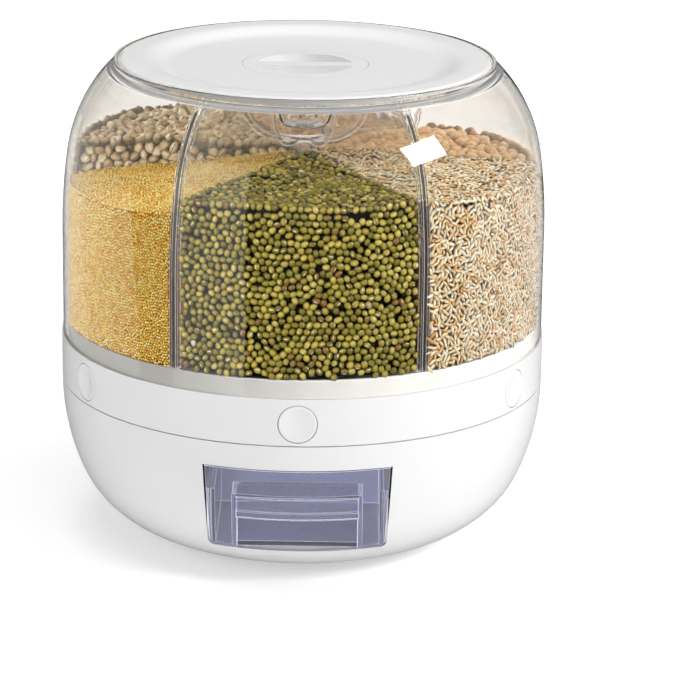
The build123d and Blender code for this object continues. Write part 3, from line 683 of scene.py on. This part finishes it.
def joined_mesh(name, parts):
    """One mesh from arrays of corners, triangles, tones, own coordinates and outward facings for painted
    shade.
    """
    starts = np.cumsum([0] + [len(part[0]) for part in parts])
    faces = np.concatenate([part[1] + start for part, start in zip(parts, starts)])
    verts, tones, own, shade_facing = (np.concatenate([part[i] for part in parts]) for i in (0, 2, 3, 4))
    mesh = bpy.data.meshes.new(name)
    mesh.vertices.add(len(verts))
    mesh.vertices.foreach_set("co", verts.astype(np.float32).ravel())
    mesh.loops.add(faces.size)
    mesh.loops.foreach_set("vertex_index", faces.astype(np.int32).ravel())
    mesh.polygons.add(len(faces))
    mesh.polygons.foreach_set("loop_start", np.arange(0, faces.size, 3, dtype=np.int32))
    mesh.update(calc_edges=True)
    mesh.validate()
    mesh.shade_smooth()
    for label, values in (("tone", tones), ("shade_facing", shade_facing)):
        layer = mesh.attributes.new(label, "FLOAT", "POINT")
        layer.data.foreach_set("value", values.astype(np.float32))
    layer = mesh.attributes.new("own", "FLOAT_VECTOR", "POINT")
    layer.data.foreach_set("vector", own.astype(np.float32).ravel())
    return mesh


def fill_compartment(
    name, position, heights, size, spacing, shapes, material, seed, tilt=0.25, roll=3.0
):
    """The contents of one compartment: grain over a core painted dark as shade, in two layers with a
    coarse form.
    """
    rng = np.random.default_rng(seed)
    levels = [floor_top + height * MM for height in heights]
    room = Compartment(position, levels, seed)
    fine, coarse = shapes
    size = [half * MM for half in size]
    spacing *= MM
    thin = min(size)
    side_low = min(VANES_SHOWN_FROM, min(levels) - SHOWN_BELOW_TOP)
    points, normals = grain_places(room, rng, thin, spacing, side_low, CLOSEST)
    parts = [many_grains(fine, points, normals, size, rng, tilt, roll, 0)]
    inset = thin * CORE_DEPTH
    if coarse is not None:
        kept = points.tolist()
        depth, spread = thin * UNDER_DEPTH, spacing * UNDER_SPREAD
        under, under_normals = grain_places(room, rng, depth, spread, side_low, UNDER_CLOSEST, kept)
        parts.append(many_grains(coarse, under, under_normals, size, rng, UNDER_TILT, roll, 1))
        inset = thin * CORE_DEPTH_UNDER_TWO
    verts, faces = core_mesh(room, inset)
    count = len(verts)
    # The core is marked so that its shader paints it in a dark shade colour
    parts.append((verts, faces, np.zeros(count), np.zeros((count, 3)), np.full(count, CORE_FACING)))
    piece = bpy.data.objects.new(name, joined_mesh(name, parts))
    bpy.context.scene.collection.objects.link(piece)
    piece.data.materials.append(material)
    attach(piece, "turntable")
    return piece


def shaped(detail, change=None):
    """A unit grain form: corners, faces and each corner's own coordinates."""
    verts, faces = ball_mesh(detail)
    return (verts if change is None else change(verts)), faces, verts


def barrelled(verts):
    """A bean: blunter ends than an ellipsoid's."""
    out = verts.copy()
    out[:, 0] = np.sign(verts[:, 0]) * np.abs(verts[:, 0]) ** 0.85
    return out


def tapered(verts):
    """A husked grain: pointed ends and a groove along one side."""
    out = verts.copy()
    along = verts[:, 0]
    narrow = (1 - 0.45 * along**2)[:, None]
    out[:, 1:] *= narrow
    groove = np.exp(-((verts[:, 1] / 0.3) ** 2)) * (verts[:, 2] > 0)
    out[:, 2] -= 0.3 * groove * narrow[:, 0]
    return out


def creased(verts):
    """A rounded seed, flat on one side, with a crease along it."""
    out = verts.copy()
    crease = np.exp(-((verts[:, 1] / 0.22) ** 2)) * (verts[:, 2] > 0)
    out[:, 2] -= 0.28 * crease
    out[:, 0] *= 1 + 0.1 * verts[:, 1]
    return out


def beaked(verts):
    """A chickpea: a small beak, a groove beside it and an uneven skin."""
    out = verts.copy()
    beak = np.clip((verts[:, 0] - 0.75) / 0.25, 0, 1) ** 2
    groove = np.exp(-((verts[:, 1] / 0.18) ** 2)) * (verts[:, 0] > 0)
    lumps = np.array([noise.noise(Vector(v) * 2.3) for v in verts])
    out *= (1 + 0.07 * lumps + 0.16 * beak - 0.09 * groove)[:, None]
    return out


def grain_material(
    name, tones, core_shade, rough, speckle=0.5, rim=0.5, under=0.4, mark=None, gloss=0.5, shade_fall=1.0
):
    """Seeds that differ in tone, with mottled skins and painted shade that darkens them to the rim, a
    lower layer painted darker as shade, over a core painted in a dark shade colour.
    """
    m = Nodes(name)
    shade_facing = m.attribute("shade_facing")
    own = m.attribute("own", "Vector")
    colour = m.ramp(m.attribute("tone"), *tones)
    mottle = m.noise(2.0, 3, own)
    colour = m.mix(m.range(mottle, 0, speckle), colour, (0.25, 0.18, 0.08, 1), "MULTIPLY")
    if mark is not None:
        along, across, mark_colour = mark
        parts = m.add("ShaderNodeSeparateXYZ")
        m.link(own, parts.inputs[0])
        length = m.math("ABSOLUTE", parts.outputs["X"], 0)
        width = m.math("ABSOLUTE", parts.outputs["Z"], 0)
        inside = m.math("LESS_THAN", length, along)
        inside = m.math("MULTIPLY", inside, m.math("LESS_THAN", width, across))
        inside = m.math("MULTIPLY", inside, m.math("GREATER_THAN", parts.outputs["Y"], 0))
        colour = m.mix(inside, colour, mark_colour)
    # Painted shade: each grain darkens from the side that faces outward to its rim, down to rim and
    # steepened by shade_fall
    below = m.math("LESS_THAN", shade_facing, -1.0)
    turned = m.math("ADD", shade_facing, m.math("MULTIPLY", below, -LAYER_FACING))
    shade = m.range(m.math("POWER", m.range(turned, 0.0, 1.0, 0.0, 0.95), shade_fall), rim, 1.0, 0.0, 1.0)
    # Painted shade: grains of the lower layer are darkened further by the factor under
    shade = m.math("MULTIPLY", shade, m.range(below, 1.0, under, 0.0, 1.0))
    colour = m.mix(1.0, colour, shade, "MULTIPLY")
    # Painted shade: the core takes the dark core_shade colour, standing for shade between grains
    in_core = m.math("LESS_THAN", shade_facing, CORE_FACING + 0.5)
    m.feed("Base Color", m.mix(in_core, colour, core_shade))
    m.feed("Roughness", m.range(mottle, rough * 0.85, rough * 1.2))
    m.bump(m.noise(3.5, 3, own), 0.0001)
    m.set(Specular_IOR_Level=gloss)
    return m.material


# Springs for the buttons


def coil_mesh(name, start, out, across, length):
    """A round wire wound about a level axis."""
    up = Vector((0, 0, 1))
    steps, around = SPRING_TURNS * 20, 6
    verts, faces = [], []
    for step in range(steps + 1):
        turn = 2 * math.pi * SPRING_TURNS * step / steps
        along = SPRING_WIRE + SPRING_PLAY / 2 + (length - 2 * SPRING_WIRE - SPRING_PLAY) * step / steps
        ray = across * math.cos(turn) + up * math.sin(turn)
        centre = start + out * along + ray * SPRING_COIL
        for corner in range(around):
            bend = 2 * math.pi * corner / around
            verts.append(centre + SPRING_WIRE * (ray * math.cos(bend) + out * math.sin(bend)))
    for step in range(steps):
        for corner in range(around):
            a = step * around + corner
            b = step * around + (corner + 1) % around
            faces.append((a, b, b + around, a + around))
    faces.append(tuple(range(around))[::-1])
    faces.append(tuple(steps * around + corner for corner in range(around)))
    mesh = bpy.data.meshes.new(name)
    mesh.from_pydata(verts, [], faces)
    mesh.shade_smooth()
    return mesh


def add_springs():
    """Replaces each button's spring by a coil of wire of the same length."""
    material = steel_material()
    low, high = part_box("button_spring_1")
    length = high.y - low.y
    for position in range(COMPARTMENTS):
        angle = position * STEP_ANGLE
        out = outward(angle)
        start = out * -high.y + Vector((0, 0, (low.z + high.z) / 2))
        mesh = coil_mesh(f"spring_coil_{position + 1}", start, out, outward(angle + math.pi / 2), length)
        mesh.materials.append(material)
        piece = bpy.data.objects.new(mesh.name, mesh)
        bpy.context.scene.collection.objects.link(piece)
        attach(piece, "turntable")
        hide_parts(f"button_spring_{position + 1}")
        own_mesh(piece)


# Everything in its place


def dress_frame():
    white = moulded_plastic("white_gloss", (0.84, 0.84, 0.845, 1), 0.26)
    dress(white, "base_bowl", "button_ring", "lid_shell", "lid_grip", *numbered("button"))
    inner = moulded_plastic("white_inner", (0.85, 0.85, 0.845, 1), 0.45, 0.000003)
    hidden = ("turntable_plate", "base_deck", "drawer_bay", "base_cover", "outlet_chute")
    dress(inner, "hopper_floor", *hidden)
    grey = moulded_plastic("grey_acetal", (0.28, 0.29, 0.31, 1), 0.4)
    dress(grey, "ball_cage", *numbered("gate"))
    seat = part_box("lid_seal")[0].z
    # A painted glowing band round the barrel's neck, just under the lid's seat
    neck_glow = (seat - 2 * MM, seat + 1 * MM, 0.12)
    passes = (0.965, 0.96, 0.95, 1)
    shell, star = (0.98, 0.965, 0.94, 1), (0.96, 0.955, 0.94, 1)
    clear = clear_material("clear_plastic", shell, passes, edge_glow=0.45, glow_band=neck_glow)
    dress(clear, "barrel_shell")
    divider = clear_material("divider_plastic", star, passes, 0.03, milk=0.05, edge_glow=0.45)
    dress(divider, "divider_star")
    tint, through = linear(204, 205, 222), linear(241, 241, 247)
    tinted = clear_material("tinted_plastic", tint, through, 0.02, wave=0.00002, milk=0.1, edge_glow=1.2)
    dress(tinted, "drawer_tray")
    dress(silicone_material(), "barrel_seal", "lid_seal")
    dress(rubber_material(), "rubber_feet")
    screws = [f"{part}_screws" for part in ("cover", "bay", "deck", "chute", "floor", "ring")]
    dress(steel_material(), "pivot_screw", "pivot_washer", "bearing_balls", *screws)


def fill_all():
    """What the six compartments hold, from the front one round to the right, in millimetres.

    Heights are those at the wall's left and right and in the middle, above the hopper's floor.
    Then come a grain's half lengths and the spacing.
    """
    mung = grain_material(
        "mung_skin",
        (
            (0.0, linear(112, 104, 32)),
            (0.5, linear(152, 140, 44)),
            (0.93, linear(200, 182, 82)),
            (0.955, linear(126, 92, 38)),
            (0.995, linear(140, 108, 50)),
            (0.9985, linear(236, 226, 196)),
        ),
        linear(14, 12, 4),
        0.22,
        speckle=0.2,
        rim=0.0,
        under=0.08,
        mark=(0.34, 0.09, linear(232, 226, 196)),
        gloss=1.0,
        shade_fall=1.4,
    )
    oat = grain_material(
        "oat_husk",
        ((0.0, linear(238, 180, 112)), (0.3, linear(253, 224, 174)), (1.0, linear(255, 248, 224))),
        linear(150, 92, 40),
        0.25,
        speckle=0.35,
        rim=0.12,
        under=0.2,
        mark=(0.8, 0.06, linear(160, 112, 66)),
        gloss=0.8,
        shade_fall=1.3,
    )
    pea = grain_material(
        "chickpea_skin",
        ((0.0, linear(238, 184, 126)), (0.5, linear(247, 202, 146)), (1.0, linear(251, 216, 168))),
        linear(110, 70, 40),
        0.4,
        speckle=0.3,
        rim=0.3,
    )
    nut = grain_material(
        "peanut_skin",
        ((0.0, linear(204, 162, 122)), (0.5, linear(222, 186, 148)), (1.0, linear(238, 210, 176))),
        linear(100, 70, 48),
        0.5,
    )
    seed = grain_material(
        "coix_hull",
        ((0.0, linear(214, 184, 142)), (0.5, linear(236, 212, 172)), (1.0, linear(250, 234, 204))),
        linear(84, 58, 38),
        0.4,
        speckle=0.35,
        rim=0.25,
        under=0.3,
        mark=(0.7, 0.1, linear(116, 84, 60)),
    )
    millet = grain_material(
        "millet_skin",
        ((0.0, linear(234, 168, 48)), (0.5, linear(252, 208, 86)), (1.0, linear(255, 242, 160))),
        linear(150, 96, 26),
        0.35,
        speckle=0.2,
        rim=0.3,
        shade_fall=0.8,
    )
    fine_bean = (shaped(2, barrelled), shaped(1))
    fine_oat = (shaped(2, tapered), shaped(1))
    whole_pea = (shaped(3, beaked), shaped(2))
    whole_nut = (shaped(3, barrelled), shaped(2))
    whole_seed = (shaped(3, creased), shaped(2))
    small_ball = (shaped(1), None)
    fill = fill_compartment
    return [
        fill("mung_beans", 0, (102.5, 104.5, 103.5), (2.65, 2.2, 2.1), 4.6, fine_bean, mung, 11),
        fill("oat_grains", 1, (99.5, 96.5, 105), (3.4, 1.35, 1.15), 3.0, fine_oat, oat, 12, 0.3, 0.8),
        fill("chickpeas", 2, (101.5, 93, 103), (4.6, 4.2, 4.2), 7.9, whole_pea, pea, 13),
        fill("peanuts", 3, (96, 96, 104), (5.6, 4.0, 3.9), 7.6, whole_nut, nut, 14, 0.5),
        fill("coix_seeds", 4, (105, 108, 109), (3.9, 3.2, 2.6), 5.9, whole_seed, seed, 15, 0.5, 1.2),
        fill("millet_grains", 5, (85, 92.5, 102), (1.0, 0.98, 0.95), 1.95, small_ball, millet, 16),
    ]


def at(turn, rise, distance):
    """A place at a turn from the front, a rise in degrees and a distance from the barrel's middle."""
    level = outward(math.radians(turn)) * math.cos(math.radians(rise))
    return LIT_PLACE + distance * (level + Vector((0, 0, math.sin(math.radians(rise)))))


def light_scene(contents):
    """One set of lamps for the dispenser, one for what it holds, and a lamp for the drawer."""
    add_world()
    haze = add_softbox("left_softbox", (-0.39, -0.48, 0.2), (0, -0.05, 0.2), 0.36, 0.64, 0.75)
    haze.visible_diffuse = False
    key = add_softbox("key_softbox", at(66.5, 30, 2.2), LIT_PLACE, 0.76, 0.5, 18)
    light_for(key, contents, "EXCLUDE")
    for name, place, width, height, radiance in (
        ("front_fill", Vector((-0.5, -2.4, 1.1)), 1.6, 1.2, 0.8),
        ("top_fill", Vector((-0.1, -0.2, 2.2)), 1.4, 1.4, 4.2),
        ("left_fill", at(-105, 15, 2.0), 1.0, 1.0, 1.8),
        ("right_fill", at(100, 15, 2.0), 1.0, 1.0, 2.2),
    ):
        light_for(add_fill(name, place, LIT_PLACE, width, height, radiance), contents, "EXCLUDE")
    rim = [nodes["hopper_floor"]]
    for name, place, side, radiance, lit in (
        ("grain_front", at(-6, 14, 2.0), 0.35, 34, contents + rim),
        ("grain_key", at(58, 25, 2.2), 0.5, 44, contents + rim),
        ("grain_left", at(-42, 22, 2.2), 0.5, 56, contents),
        ("grain_back_left", at(-130, 25, 2.2), 0.6, 34, contents[1:]),
        ("grain_back_right", at(135, 25, 2.2), 0.6, 16, contents[1:]),
    ):
        light = add_fill(name, place, LIT_PLACE, side, side, radiance)
        light.visible_glossy = True
        light_for(light, lit, "INCLUDE")
    inside = add_fill("drawer_fill", (-0.2, -1.6, 0.35), (0, -0.1, 0.05), 0.4, 0.4, 42)
    light_for(inside, [nodes["drawer_bay"], nodes["drawer_tray"]], "INCLUDE")
    scene = bpy.context.scene
    scene.view_settings.view_transform = "Standard"
    scene.cycles.max_bounces = 20
    scene.cycles.transmission_bounces = 20
    scene.cycles.transparent_max_bounces = 24
    scene.cycles.caustics_reflective = False
    scene.cycles.sample_clamp_indirect = 12.0
    scene.cycles.use_denoising = True


add_camera()
add_floor()
dress_frame()
add_springs()
light_scene(fill_all())
